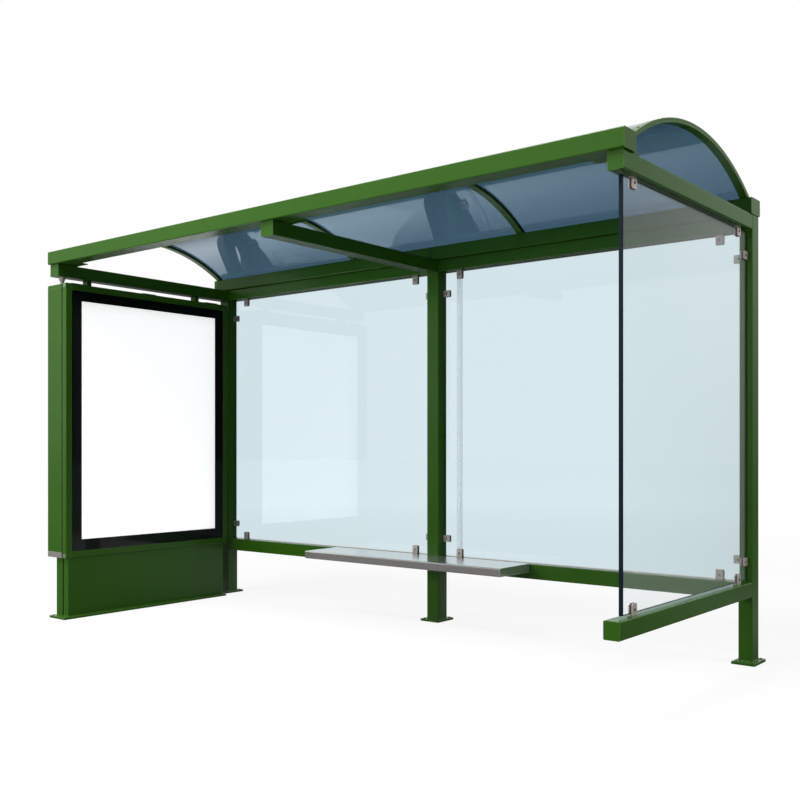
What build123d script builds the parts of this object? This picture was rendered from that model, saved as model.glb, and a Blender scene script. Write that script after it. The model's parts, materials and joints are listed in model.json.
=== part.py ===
from build123d import *
from math import asin, degrees, sqrt
import os

# Roadside waiting shelter: a welded frame of rectangular tube with an arched sheet roof on
# bent ribs, two rear panes, one side pane, a bench, and a poster case at the far end.
#
# Millimetres. The origin is on the floor under the middle post: X runs along the shelter,
# +X towards the end with the side pane, +Y towards the back, +Z up.

# ---------------------------------------------------------------- driving dimensions

# frame
FRAME_LENGTH = 4480          # over the outer faces of the two end posts
POST_DEPTH = 100             # every post, and every rail between posts, front to back
POST_WIDTH = 100             # left and middle posts, along the shelter
RIGHT_POST_WIDTH = 80        # the post, arm and sill that carry the side pane are slimmer
TUBE_WALL = 4
POST_TOP = 2490              # underside of both roof beams
TOP_RAIL_HEIGHT = 80
BOTTOM_RAIL_TOP = 450
BOTTOM_RAIL_HEIGHT = 94

# feet
FOOT_THICKNESS = 16
FOOT_EDGE = 2                # bevel round the top of a foot plate
FOOT_MARGIN_X = 26           # plate showing beside a post
FOOT_MARGIN_Y = 37           # plate showing in front of and behind a post
ANCHOR_HOLE = 14             # diameter
ANCHOR_EDGE = 20             # hole centre to plate edge
PLINTH_FOOT_INNER = 46       # plate showing beside the plinth, towards the seat
PLINTH_FOOT_FRONT = 55       # and in front of it

# roof
BEAM_HEIGHT = 90
FRONT_BEAM_DEPTH = 115
FRONT_BEAM_LEFT = 0          # beam ends beyond the outer faces of the end posts
FRONT_BEAM_RIGHT = 12
REAR_BEAM_DEPTH = 130
REAR_BEAM_LEFT = 42
REAR_BEAM_RIGHT = 5
REAR_BEAM_OVERHANG = 25      # rear beam in front of the post faces
BEAM_SPAN = 1410             # clear distance between the two beams
END_CAP = 4                  # plates that close tube ends
ARM_HEIGHT = 85
ARM_SETBACK = 20             # arm ends behind the front beam's face
ARM_VENT = (12, 22)          # vent hole under the right arm: off its middle, from its end
CLEAT_FOOT = 55              # angle cleats behind the front beam, on top of the arms
CLEAT_BACK = 45
CLEAT_WALL = 6
CLEAT_REACH = 130            # cleat beyond the side of its arm
ARCH_RADIUS = 1255           # underside of the ribs
ARCH_FRONT_DROP = 42         # rib underside below the top of the front beam
RIB_WIDTH = 44
RIB_HEIGHT = 15
RIB_WALL = 2
RIB_BEVEL = 1.5              # softened outer edges
RIB_LEFT = 14                # outer face of the left rib beyond the post's outer face
RIB_RIGHT = 18               # outer face of the right rib inside the post's outer face
RIB_MIDDLE = 729             # middle ribs, either side of the middle post
SEAL_WIDTH = 60
SEAL_THICKNESS = 2
SHEET_THICKNESS = 4
SHEET_JOINT = 12             # gap between neighbouring sheets over a rib
COVER_THICKNESS = 2
SHEET_END_GAP = 3            # roof sheet to the front beam

# glazing
PANE = 12                    # toughened glass
REAR_PANE_SETBACK = 20       # middle of the rear panes behind the middle of the posts
REAR_PANE_GAP = 6            # glass edge to frame
SIDE_PANE_GAP = 12
SIDE_PANE_FRONT = 1487       # side pane, from the posts' front to its free edge
SILL_RISE = 7                # sill above the top of the bottom rails
SILL_HEIGHT = 84
SILL_LENGTH = 1566           # from the posts' front
SILL_VENT = (-11, 100)       # vent hole on top of the sill: off its middle, from its end
VENT_HOLE = 10               # diameter
CLAMP_WIDTH = 45             # along the glass edge
CLAMP_DEPTH = 26             # through the glass
CLAMP_REACH = 54             # from the frame face
CLAMP_NOSE = 7               # radius of the corners at a clamp's free end
LEFT_BAY_CLAMPS = 153        # top and bottom clamps, from the posts beside them
RIGHT_BAY_CLAMPS = 137
CLAMP_HIGH = 2262            # upper and lower clamps on the posts
CLAMP_LOW = 570
SIDE_CLAMP_FRONT = 1372      # clamps on the arm and sill, from the posts' front
SIDE_CLAMP_REAR = 122

# bench
BENCH_TOP = 455
BENCH_LENGTH = 1690
BENCH_CENTRE_X = -55
BENCH_DEPTH = 332
BENCH_THICKNESS = 54
BENCH_SHEET = 3
BENCH_GAP = 6                # rear edge of the seat to the posts' front
BENCH_NOSE = 8               # outside radius of the front folds
BENCH_RETURN = 30            # front edge folded back under the seat
BRACKET_THICKNESS = 8
BRACKET_LENGTH = 285
BRACKET_DEPTH = 76           # at the rail
BRACKET_TIP = 24             # at the free end
BRACKET_INSET = 200          # outer brackets from the ends of the seat
BRACKET_COUNT = 4

# poster case
CASE_WIDTH = 1450            # along Y
CASE_HEIGHT = 1933
CASE_BOTTOM = 421
CASE_REAR = 60               # rear end of the case, in front of the posts
CASE_OUTER_OFFSET = 66       # back of the case outside the left post
CASE_BODY_DEPTH = 174
CASE_SEAM = 14
CASE_WALL = 2
PANEL_LEDGE = 20             # lips on the housing's sides that carry the light panel
TOP_CAP = 30
TOP_CAP_EDGE = 12            # radius round the top of the top cap
BOTTOM_CAP = 40
DOOR_DEPTH = 43
DOOR_FRAME = 46              # visible width of the door's profiles
DOOR_LIP = 8                 # profile lip that holds the glass
DOOR_WALL = 2.5
DOOR_EDGE = 4                # radius of the profiles' outer front edge
DOOR_GLASS = 5
MASK_SIDE = 81               # black border printed behind the glass
MASK_TOP = 71
MASK_BOTTOM = 81
MASK = 1
POSTER = 1
LIGHT_PANEL = 6
PANEL_BEHIND_MOUTH = 10
PANEL_EDGE_GAP = 2
GASKET = 8
GASKET_WIDTH = 14
GASKET_INSET = 4             # from the outline of the case

# case hinges and hangers
HINGE_LENGTH = 120
HINGE_BARREL = 12            # diameter
HINGE_PIN = 6
HINGE_FIT = 0.1              # on the radius
HINGE_END_PLAY = 1
HINGE_LIFT = 1               # moving knuckles above the case's top
HINGE_CLEARANCE = 0.5        # fixed leaf to the moving knuckle
HINGE_INSET = 130            # outer hinges from the ends of the case
HINGE_LEAF = 3
HINGE_LEAF_WIDTH = 34
HINGE_COUNT = 3
HANGER_ALONG = 38            # box-tube hangers between the arm and the case
HANGER_ACROSS = 60
HANGER_INWARD = 10           # middle of the hangers, from the middle of the arm
HANGER_PITCH = 967
HANGER_REAR = 310            # middle of the rear hanger, in front of the posts

# plinth under the case
PLINTH_TOP = 419
PLINTH_LENGTH = 1382
PLINTH_REAR = 110            # rear end, in front of the posts
PLINTH_OUTER_PANEL = 73
PLINTH_RECESS = 16
PLINTH_INNER_PANEL = 53
PLINTH_SHEET = 3
PLINTH_UPRIGHT = 60
PLINTH_UPRIGHT_INSET = 40

# ---------------------------------------------------------------- places that follow

HALF_FRAME = FRAME_LENGTH / 2
FRONT = -POST_DEPTH / 2                      # front faces of the posts
BACK = POST_DEPTH / 2
LEFT_POST_X = -HALF_FRAME + POST_WIDTH / 2
RIGHT_POST_X = HALF_FRAME - RIGHT_POST_WIDTH / 2
TOP_RAIL_BOTTOM = POST_TOP - TOP_RAIL_HEIGHT
BOTTOM_RAIL_BOTTOM = BOTTOM_RAIL_TOP - BOTTOM_RAIL_HEIGHT
BEAM_TOP = POST_TOP + BEAM_HEIGHT
REAR_BEAM_FRONT = FRONT - REAR_BEAM_OVERHANG
FRONT_BEAM_BACK = REAR_BEAM_FRONT - BEAM_SPAN
FRONT_BEAM_FRONT = FRONT_BEAM_BACK - FRONT_BEAM_DEPTH
ARM_FRONT = FRONT_BEAM_FRONT + ARM_SETBACK
ARM_BOTTOM = POST_TOP - ARM_HEIGHT
SILL_TOP = BOTTOM_RAIL_TOP + SILL_RISE
SILL_BOTTOM = SILL_TOP - SILL_HEIGHT
FRONT_BEAM_X = (-HALF_FRAME - FRONT_BEAM_LEFT, HALF_FRAME + FRONT_BEAM_RIGHT)
REAR_BEAM_X = (-HALF_FRAME - REAR_BEAM_LEFT, HALF_FRAME + REAR_BEAM_RIGHT)
LEFT_BAY = (LEFT_POST_X + POST_WIDTH / 2, -POST_WIDTH / 2)
RIGHT_BAY = (POST_WIDTH / 2, RIGHT_POST_X - RIGHT_POST_WIDTH / 2)

CASE_BACK_X = -HALF_FRAME - CASE_OUTER_OFFSET
CASE_MOUTH_X = CASE_BACK_X + CASE_BODY_DEPTH
DOOR_BACK_X = CASE_MOUTH_X + CASE_SEAM
DOOR_FRONT_X = DOOR_BACK_X + DOOR_DEPTH
CASE_Y1 = FRONT - CASE_REAR
CASE_Y0 = CASE_Y1 - CASE_WIDTH
CASE_TOP = CASE_BOTTOM + CASE_HEIGHT
HOUSING_BOTTOM = CASE_BOTTOM + BOTTOM_CAP
HOUSING_TOP = CASE_TOP - TOP_CAP
PANEL_X = CASE_MOUTH_X - PANEL_BEHIND_MOUTH - LIGHT_PANEL
HINGE_X = CASE_MOUTH_X + CASE_SEAM / 2
HINGE_Z = CASE_TOP + HINGE_LIFT + HINGE_BARREL / 2

PLINTH_X1 = DOOR_FRONT_X - 5
PLINTH_X0 = PLINTH_X1 - PLINTH_INNER_PANEL - PLINTH_RECESS - PLINTH_OUTER_PANEL
PLINTH_Y1 = FRONT - PLINTH_REAR
PLINTH_Y0 = PLINTH_Y1 - PLINTH_LENGTH


# ---------------------------------------------------------------- shared shapes

def block(x0, x1, y0, y1, z0, z1):
    """A box between two corners."""
    middle = Pos((x0 + x1) / 2, (y0 + y1) / 2, (z0 + z1) / 2)
    return middle * Box(abs(x1 - x0), abs(y1 - y0), abs(z1 - z0))


def tube(x0, x1, y0, y1, z0, z1, along, wall=TUBE_WALL, corner=6):
    """Rectangular hollow section that fills the given box, open at both ends of one axis."""
    size = {"X": (y1 - y0, z1 - z0), "Y": (x1 - x0, z1 - z0), "Z": (x1 - x0, y1 - y0)}[along]
    length = {"X": x1 - x0, "Y": y1 - y0, "Z": z1 - z0}[along]
    middle = ((x0 + x1) / 2, (y0 + y1) / 2, (z0 + z1) / 2)
    across = {"X": (0, 1, 0), "Y": (1, 0, 0), "Z": (1, 0, 0)}[along]
    axis = {"X": (1, 0, 0), "Y": (0, 1, 0), "Z": (0, 0, 1)}[along]
    plane = Plane(origin=middle, x_dir=across, z_dir=axis)
    outer = RectangleRounded(size[0], size[1], corner)
    inner = RectangleRounded(size[0] - 2 * wall, size[1] - 2 * wall, corner - wall)
    return extrude(plane * (outer - inner), length / 2, both=True)


def joined(pieces):
    """Several solids that never touch, kept in one named piece."""
    return Compound(children=list(pieces))


def save(shape, name):
    """Write one named piece."""
    shape.label = name
    export_step(shape, "parts/" + name + ".step")


# ---------------------------------------------------------------- posts, feet, rails

def post(x, width):
    """Upright from its foot plate to the underside of the rear beam."""
    half = width / 2
    return tube(x - half, x + half, FRONT, BACK, FOOT_THICKNESS, POST_TOP, "Z")


def foot(x0, x1, y0, y1):
    """Anchored foot plate, bevelled round its top, with a hole near each corner."""
    plate = block(x0, x1, y0, y1, 0, FOOT_THICKNESS)
    plate = chamfer(plate.faces().sort_by(Axis.Z)[-1].edges(), FOOT_EDGE)
    middle = Pos((x0 + x1) / 2, (y0 + y1) / 2, FOOT_THICKNESS / 2)
    spacing_x = x1 - x0 - 2 * ANCHOR_EDGE
    spacing_y = y1 - y0 - 2 * ANCHOR_EDGE
    drill = Cylinder(ANCHOR_HOLE / 2, 2 * FOOT_THICKNESS)
    return plate - [middle * at * drill for at in GridLocations(spacing_x, spacing_y, 2, 2)]


def post_foot(x, width):
    """Foot plate centred under a post."""
    reach = width / 2 + FOOT_MARGIN_X
    return foot(x - reach, x + reach, FRONT - FOOT_MARGIN_Y, BACK + FOOT_MARGIN_Y)


def rail(x0, x1, bottom, top):
    """Horizontal tube between two posts, flush with their faces."""
    return tube(x0, x1, FRONT, BACK, bottom, top, "X")


def build_rear_frame():
    save(post(LEFT_POST_X, POST_WIDTH), "post_left")
    save(post(0, POST_WIDTH), "post_middle")
    save(post(RIGHT_POST_X, RIGHT_POST_WIDTH), "post_right")
    for side, (x0, x1) in (("left", LEFT_BAY), ("right", RIGHT_BAY)):
        save(rail(x0, x1, TOP_RAIL_BOTTOM, POST_TOP), "top_rail_" + side)
        save(rail(x0, x1, BOTTOM_RAIL_BOTTOM, BOTTOM_RAIL_TOP), "bottom_rail_" + side)


# ---------------------------------------------------------------- arms, sill and beams

def closed_arm(x, width, front, bottom, top):
    """Tube that reaches forward from a post, with a plate over its free end."""
    half = width / 2
    body = tube(x - half, x + half, front + END_CAP, FRONT, bottom, top, "Y")
    plane = Plane(origin=(x, front, (bottom + top) / 2), x_dir=(1, 0, 0), z_dir=(0, 1, 0))
    cap = extrude(plane * RectangleRounded(width, top - bottom, 6), END_CAP)
    return body + cap


def closed_beam(x0, x1, y0, y1):
    """Roof beam with a plate over each end."""
    beam = tube(x0 + END_CAP, x1 - END_CAP, y0, y1, POST_TOP, BEAM_TOP, "X")
    for x in (x0, x1 - END_CAP):
        plane = Plane(origin=(x, (y0 + y1) / 2, POST_TOP + BEAM_HEIGHT / 2), x_dir=(0, 1, 0),
                      z_dir=(1, 0, 0))
        beam += extrude(plane * RectangleRounded(y1 - y0, BEAM_HEIGHT, 6), END_CAP)
    return beam


def cleat(x0, x1):
    """Length of angle on top of an arm, against the back of the front beam."""
    foot_leg = block(x0, x1, FRONT_BEAM_BACK, FRONT_BEAM_BACK + CLEAT_FOOT,
                     POST_TOP, POST_TOP + CLEAT_WALL)
    back_leg = block(x0, x1, FRONT_BEAM_BACK, FRONT_BEAM_BACK + CLEAT_WALL,
                     POST_TOP, POST_TOP + CLEAT_BACK)
    return foot_leg + back_leg


def roof_arm(x, width, left_reach, right_reach):
    """Arm under the front beam with its cleat, which reaches past the arm's sides."""
    arm = closed_arm(x, width, ARM_FRONT, ARM_BOTTOM, POST_TOP)
    return arm + cleat(x - width / 2 - left_reach, x + width / 2 + right_reach)


def vent(front, place, z):
    """Drill for one wall of the right arm or the sill, near the free end."""
    off_middle, from_end = place
    return Pos(RIGHT_POST_X + off_middle, front + from_end, z) * Cylinder(VENT_HOLE / 2, 4 * TUBE_WALL)


def side_sill():
    """Tube along the floor end of the side pane."""
    front = FRONT - SILL_LENGTH
    sill = closed_arm(RIGHT_POST_X, RIGHT_POST_WIDTH, front, SILL_BOTTOM, SILL_TOP)
    return sill - vent(front, SILL_VENT, SILL_TOP)


def build_arms_and_beams():
    right_arm = roof_arm(RIGHT_POST_X, RIGHT_POST_WIDTH, CLEAT_REACH, 0)
    save(roof_arm(LEFT_POST_X, POST_WIDTH, 0, CLEAT_REACH), "roof_arm_left")
    save(roof_arm(0, POST_WIDTH, CLEAT_REACH, CLEAT_REACH), "roof_arm_middle")
    save(right_arm - vent(ARM_FRONT, ARM_VENT, ARM_BOTTOM), "roof_arm_right")
    save(side_sill(), "side_sill")
    save(closed_beam(*FRONT_BEAM_X, FRONT_BEAM_FRONT, FRONT_BEAM_BACK), "front_beam")
    save(closed_beam(*REAR_BEAM_X, REAR_BEAM_FRONT, REAR_BEAM_FRONT + REAR_BEAM_DEPTH), "rear_beam")


# ---------------------------------------------------------------- arched roof

def arch_centre():
    """Centre of the roof arch: it passes the rear beam's top front edge and meets the back of
    the front beam at the stated drop."""
    y0, z0 = FRONT_BEAM_BACK, BEAM_TOP - ARCH_FRONT_DROP
    y1, z1 = REAR_BEAM_FRONT, BEAM_TOP
    chord = sqrt((y1 - y0) ** 2 + (z1 - z0) ** 2)
    rise = sqrt(ARCH_RADIUS ** 2 - (chord / 2) ** 2)
    along = ((y1 - y0) / chord, (z1 - z0) / chord)
    return ((y0 + y1) / 2 + along[1] * rise, (z0 + z1) / 2 - along[0] * rise)


ARCH_Y, ARCH_Z = arch_centre()
RIB_TOP_RADIUS = ARCH_RADIUS + RIB_HEIGHT
SHEET_RADIUS = RIB_TOP_RADIUS + SEAL_THICKNESS
COVER_RADIUS = SHEET_RADIUS + SHEET_THICKNESS


def arched(profile, front_gap=0.0):
    """Bend a flat profile over the roof. The profile lies in a plane across the rib: its first
    coordinate runs along the shelter, its second is the distance from the arch's centre. The
    bend is trimmed on the back of the front beam and on the top of the rear beam."""
    front_angle = degrees(asin((ARCH_Y - FRONT_BEAM_BACK) / ARCH_RADIUS)) + 2
    rear_angle = degrees(asin((REAR_BEAM_FRONT - ARCH_Y) / ARCH_RADIUS)) + 4
    centre_line = Axis((0, ARCH_Y, ARCH_Z), (1, 0, 0))
    upright = Plane(origin=(0, ARCH_Y, ARCH_Z), x_dir=(1, 0, 0), z_dir=(0, -1, 0))
    bent = revolve(upright * profile, centre_line, front_angle + rear_angle)
    bent = bent.rotate(centre_line, -rear_angle)
    reach = FRAME_LENGTH
    low = block(-reach, reach, REAR_BEAM_FRONT - 60, BACK + 400, POST_TOP - 200, BEAM_TOP)
    ahead = block(-reach, reach, FRONT_BEAM_FRONT - 200, FRONT_BEAM_BACK + front_gap,
                  POST_TOP - 400, BEAM_TOP + 300)
    return bent - low - ahead


def strip(x0, x1, radius, thickness):
    """Cross-section of a flat strip at a distance from the arch's centre."""
    return Pos((x0 + x1) / 2, radius + thickness / 2) * Rectangle(x1 - x0, thickness)


def rib_places():
    """Centres of the ribs along the shelter."""
    first = -HALF_FRAME - RIB_LEFT + RIB_WIDTH / 2
    last = HALF_FRAME - RIB_RIGHT - RIB_WIDTH / 2
    return [first, -RIB_MIDDLE, RIB_MIDDLE, last]


def rib(x):
    """Flat bent tube, welded to the back of the front beam and the top of the rear beam."""
    outer = Rectangle(RIB_WIDTH, RIB_HEIGHT)
    outer = chamfer(outer.vertices(), RIB_BEVEL)
    hollow = Rectangle(RIB_WIDTH - 2 * RIB_WALL, RIB_HEIGHT - 2 * RIB_WALL)
    return arched(Pos(x, ARCH_RADIUS + RIB_HEIGHT / 2) * (outer - hollow))


def seal(x, end):
    """Rubber strip between rib and sheet, wider than the rib. On an end rib it stops inside
    the outer edge."""
    left = x - RIB_WIDTH / 2 + COVER_THICKNESS if end < 0 else x - SEAL_WIDTH / 2
    right = x + RIB_WIDTH / 2 - COVER_THICKNESS if end > 0 else x + SEAL_WIDTH / 2
    return arched(strip(left, right, RIB_TOP_RADIUS, SEAL_THICKNESS))


def cover(x, end):
    """Capping strip over the sheet joint. On an end rib its outer edge turns down over the
    sheet and the seal."""
    half = RIB_WIDTH / 2
    section = strip(x - half, x + half, COVER_RADIUS, COVER_THICKNESS)
    if end:
        edge = x + end * half
        section += strip(min(edge, edge - end * COVER_THICKNESS),
                         max(edge, edge - end * COVER_THICKNESS),
                         RIB_TOP_RADIUS, COVER_RADIUS - RIB_TOP_RADIUS)
    return arched(section)


def sheet(left_rib, right_rib):
    """Curved roof sheet from rib to rib."""
    left = left_rib + SHEET_JOINT / 2
    right = right_rib - SHEET_JOINT / 2
    outer = RIB_WIDTH / 2 - COVER_THICKNESS
    if left_rib == rib_places()[0]:
        left = left_rib - outer
    if right_rib == rib_places()[-1]:
        right = right_rib + outer
    return arched(strip(left, right, SHEET_RADIUS, SHEET_THICKNESS), SHEET_END_GAP)


def build_roof():
    places = rib_places()
    ends = [-1, 0, 0, 1]
    save(joined(rib(x) for x in places), "roof_ribs")
    for number in range(1, len(places)):
        save(sheet(places[number - 1], places[number]), "roof_sheet_%d" % number)
    save(joined(seal(x, end) for x, end in zip(places, ends)), "roof_seals")
    save(joined(cover(x, end) for x, end in zip(places, ends)), "roof_covers")


# ---------------------------------------------------------------- glazing

def clamp(seat, outward, across):
    """Glass clamp: a block standing on the frame at `seat`, with the corners of its free end
    rounded. `outward` points away from the frame and `across` through the glass."""
    face = Pos(CLAMP_REACH / 2, 0) * Rectangle(CLAMP_REACH, CLAMP_WIDTH)
    face = fillet(face.vertices().sort_by(Axis.X)[-2:], CLAMP_NOSE)
    plane = Plane(origin=seat, x_dir=outward, z_dir=across)
    return extrude(plane * face, CLAMP_DEPTH / 2, both=True)


def rear_pane(x0, x1):
    """Pane that fills one rear bay, clear of the frame all round."""
    gap = REAR_PANE_GAP
    return block(x0 + gap, x1 - gap, REAR_PANE_SETBACK - PANE / 2, REAR_PANE_SETBACK + PANE / 2,
                 BOTTOM_RAIL_TOP + gap, TOP_RAIL_BOTTOM - gap)


def rear_clamps(x0, x1, inset):
    """Eight clamps round one rear pane, each slotted by the pane itself."""
    glass = rear_pane(x0, x1)
    y = REAR_PANE_SETBACK
    made = []
    for x in (x0 + inset, x1 - inset):
        made.append(clamp((x, y, TOP_RAIL_BOTTOM), (0, 0, -1), (0, 1, 0)))
        made.append(clamp((x, y, BOTTOM_RAIL_TOP), (0, 0, 1), (0, 1, 0)))
    for z in (CLAMP_HIGH, CLAMP_LOW):
        made.append(clamp((x0, y, z), (1, 0, 0), (0, 1, 0)))
        made.append(clamp((x1, y, z), (-1, 0, 0), (0, 1, 0)))
    return [piece - glass for piece in made]


def side_pane():
    """Pane between the arm and the sill at the right end."""
    gap = SIDE_PANE_GAP
    return block(RIGHT_POST_X - PANE / 2, RIGHT_POST_X + PANE / 2, FRONT - SIDE_PANE_FRONT,
                 FRONT - gap, SILL_TOP + gap, ARM_BOTTOM - gap)


def side_clamps():
    """Clamps on the arm, the sill and the right post."""
    glass = side_pane()
    made = []
    for y in (FRONT - SIDE_CLAMP_FRONT, FRONT - SIDE_CLAMP_REAR):
        made.append(clamp((RIGHT_POST_X, y, ARM_BOTTOM), (0, 0, -1), (1, 0, 0)))
        made.append(clamp((RIGHT_POST_X, y, SILL_TOP), (0, 0, 1), (1, 0, 0)))
    for z in (CLAMP_HIGH, CLAMP_LOW):
        made.append(clamp((RIGHT_POST_X, FRONT, z), (0, -1, 0), (1, 0, 0)))
    return joined(piece - glass for piece in made)


def build_glazing():
    save(rear_pane(*LEFT_BAY), "rear_pane_left")
    save(rear_pane(*RIGHT_BAY), "rear_pane_right")
    save(joined(rear_clamps(*LEFT_BAY, LEFT_BAY_CLAMPS)
                + rear_clamps(*RIGHT_BAY, RIGHT_BAY_CLAMPS)), "rear_clamps")
    save(side_pane(), "side_pane")
    save(side_clamps(), "side_clamps")


# ---------------------------------------------------------------- bench

def bench_seat():
    """Folded stainless seat, open below. The front edge turns down and back under with
    rounded folds, and a plate closes each end."""
    y1 = FRONT - BENCH_GAP
    y0 = y1 - BENCH_DEPTH
    bottom = BENCH_TOP - BENCH_THICKNESS
    half = BENCH_LENGTH / 2
    sheet = BENCH_SHEET
    outer = rounded_front(y0, y1, bottom, BENCH_TOP, BENCH_NOSE)
    inner = rounded_front(y0 + sheet, y1 + 1, bottom + sheet, BENCH_TOP - sheet, BENCH_NOSE - sheet)
    below = Pos((y0 + BENCH_RETURN + y1 + 1) / 2, bottom) * Rectangle(
        y1 + 1 - y0 - BENCH_RETURN, 3 * sheet)
    side_on = Plane(origin=(BENCH_CENTRE_X - half, 0, 0), x_dir=(0, 1, 0), z_dir=(1, 0, 0))
    seat = extrude(side_on * (outer - inner - below), BENCH_LENGTH)
    for x in (BENCH_CENTRE_X - half, BENCH_CENTRE_X + half - sheet):
        seat += Pos(x - BENCH_CENTRE_X + half, 0, 0) * extrude(side_on * outer, sheet)
    return seat


def rounded_front(y0, y1, z0, z1, radius):
    """Rectangle with both corners at y0 rounded, drawn across the seat."""
    face = Pos((y0 + y1) / 2, (z0 + z1) / 2) * Rectangle(y1 - y0, z1 - z0)
    return fillet(face.vertices().sort_by(Axis.X)[:2], radius)


def bench_brackets():
    """Tapered flat brackets under the seat, standing out from the bottom rails."""
    top = BENCH_TOP - BENCH_SHEET
    pitch = (BENCH_LENGTH - 2 * BRACKET_INSET) / (BRACKET_COUNT - 1)
    first = BENCH_CENTRE_X - BENCH_LENGTH / 2 + BRACKET_INSET
    outline = Polygon((FRONT, top - BRACKET_DEPTH), (FRONT, top),
                      (FRONT - BRACKET_LENGTH, top),
                      (FRONT - BRACKET_LENGTH, top - BRACKET_TIP), align=None)
    made = []
    for i in range(BRACKET_COUNT):
        plane = Plane(origin=(first + i * pitch, 0, 0), x_dir=(0, 1, 0), z_dir=(1, 0, 0))
        made.append(extrude(plane * outline, BRACKET_THICKNESS / 2, both=True))
    return joined(made)


def build_bench():
    save(bench_seat(), "bench_seat")
    save(bench_brackets(), "bench_brackets")


# ---------------------------------------------------------------- poster case

def case_top_cap():
    """Shallow tray, open below, with rounded edges along its top."""
    outer = rounded_cap(0, TOP_CAP_EDGE)
    inner = rounded_cap(CASE_WALL, TOP_CAP_EDGE - CASE_WALL)
    return outer - inner


def rounded_cap(inset, radius):
    """Solid the size of the top cap less an inset, rounded along its top but for the mouth
    side."""
    solid = block(CASE_BACK_X + inset, CASE_MOUTH_X - inset, CASE_Y0 + inset, CASE_Y1 - inset,
                  HOUSING_TOP - inset, CASE_TOP - inset)
    top = solid.faces().sort_by(Axis.Z)[-1]
    return fillet(top.edges().sort_by(Axis.X)[:-1], radius)


def case_bottom_cap():
    """Shallow tray, open above, that closes the bottom of the housing."""
    solid = block(CASE_BACK_X, CASE_MOUTH_X, CASE_Y0, CASE_Y1, CASE_BOTTOM, HOUSING_BOTTOM)
    return offset(solid, -CASE_WALL, openings=solid.faces().sort_by(Axis.Z)[-1])


def case_housing():
    """Back and two sides of the case between its end caps, with a ledge on each side for the
    light panel."""
    outer = block(CASE_BACK_X, CASE_MOUTH_X, CASE_Y0, CASE_Y1, HOUSING_BOTTOM, HOUSING_TOP)
    inner = block(CASE_BACK_X + CASE_WALL, CASE_MOUTH_X + 1, CASE_Y0 + CASE_WALL,
                  CASE_Y1 - CASE_WALL, HOUSING_BOTTOM - 1, HOUSING_TOP + 1)
    housing = outer - inner
    ledge_x = PANEL_X - CASE_WALL
    for y in (CASE_Y0, CASE_Y1 - PANEL_LEDGE):
        housing += block(ledge_x, PANEL_X, y, y + PANEL_LEDGE, HOUSING_BOTTOM, HOUSING_TOP)
    return housing


def case_window(margin, x0, x1):
    """Slab that covers the case's face, less a margin all round."""
    return block(x0, x1, CASE_Y0 + margin, CASE_Y1 - margin,
                 CASE_BOTTOM + margin, CASE_TOP - margin)


def case_gasket():
    """Rubber frame on the housing's mouth, short of the door."""
    x1 = CASE_MOUTH_X + GASKET
    ring = case_window(GASKET_INSET, CASE_MOUTH_X, x1)
    return ring - case_window(GASKET_INSET + GASKET_WIDTH, CASE_MOUTH_X - 1, x1 + 1)


def light_panel():
    """Diffuser that the poster lies on, against the housing's ledges."""
    edge = CASE_WALL + PANEL_EDGE_GAP
    return block(PANEL_X, PANEL_X + LIGHT_PANEL, CASE_Y0 + edge, CASE_Y1 - edge,
                 HOUSING_BOTTOM, HOUSING_TOP)


def poster():
    """Poster on the face of the light panel."""
    x0 = PANEL_X + LIGHT_PANEL
    return case_window(DOOR_FRAME + 20, x0, x0 + POSTER)


def door_profile():
    """Section of the door's profiles: a box tube with a rounded outer front edge and a lip
    along its front inner edge. The first coordinate runs in from the door's outer edge, the
    second forward."""
    tube_width = DOOR_FRAME - DOOR_LIP
    outer = Rectangle(tube_width, DOOR_DEPTH)
    outer = fillet(outer.vertices().sort_by(Axis.X)[:2].sort_by(Axis.Y)[-1:], DOOR_EDGE)
    hollow = Rectangle(tube_width - 2 * DOOR_WALL, DOOR_DEPTH - 2 * DOOR_WALL)
    box = Pos(tube_width / 2, DOOR_DEPTH / 2) * (outer - hollow)
    lip = Pos(tube_width + DOOR_LIP / 2 - 0.5, DOOR_DEPTH - DOOR_WALL / 2) * Rectangle(
        DOOR_LIP + 1, DOOR_WALL)
    return box + lip


def door_stiles():
    """Upright profiles, the full height of the door. Their lips stop at the level ones."""
    made = []
    inner = DOOR_FRAME - DOOR_LIP
    for y, inward in ((CASE_Y0, 1), (CASE_Y1, -1)):
        plane = Plane(origin=(DOOR_BACK_X, y, CASE_BOTTOM), x_dir=(0, inward, 0),
                      z_dir=(0, 0, -inward))
        stile = extrude(plane * door_profile(), -inward * CASE_HEIGHT)
        lip_y = sorted((y + inward * inner, y + inward * (DOOR_FRAME + 1)))
        for z in (CASE_BOTTOM, CASE_TOP - DOOR_FRAME):
            stile -= block(DOOR_BACK_X, DOOR_FRONT_X + 1, *lip_y, z, z + DOOR_FRAME)
        made.append(stile)
    return joined(made)


def door_rails():
    """Level profiles between the stiles."""
    made = []
    tube_width = DOOR_FRAME - DOOR_LIP
    for z, inward in ((CASE_BOTTOM, 1), (CASE_TOP, -1)):
        plane = Plane(origin=(DOOR_BACK_X, CASE_Y0 + tube_width, z), x_dir=(0, 0, inward),
                      z_dir=(0, inward, 0))
        made.append(extrude(plane * door_profile(), inward * (CASE_WIDTH - 2 * tube_width)))
    return joined(made)


def door_glass():
    """Glass behind the door's front lip."""
    x1 = DOOR_FRONT_X - DOOR_WALL
    return case_window(DOOR_FRAME - DOOR_LIP, x1 - DOOR_GLASS, x1)


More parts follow.
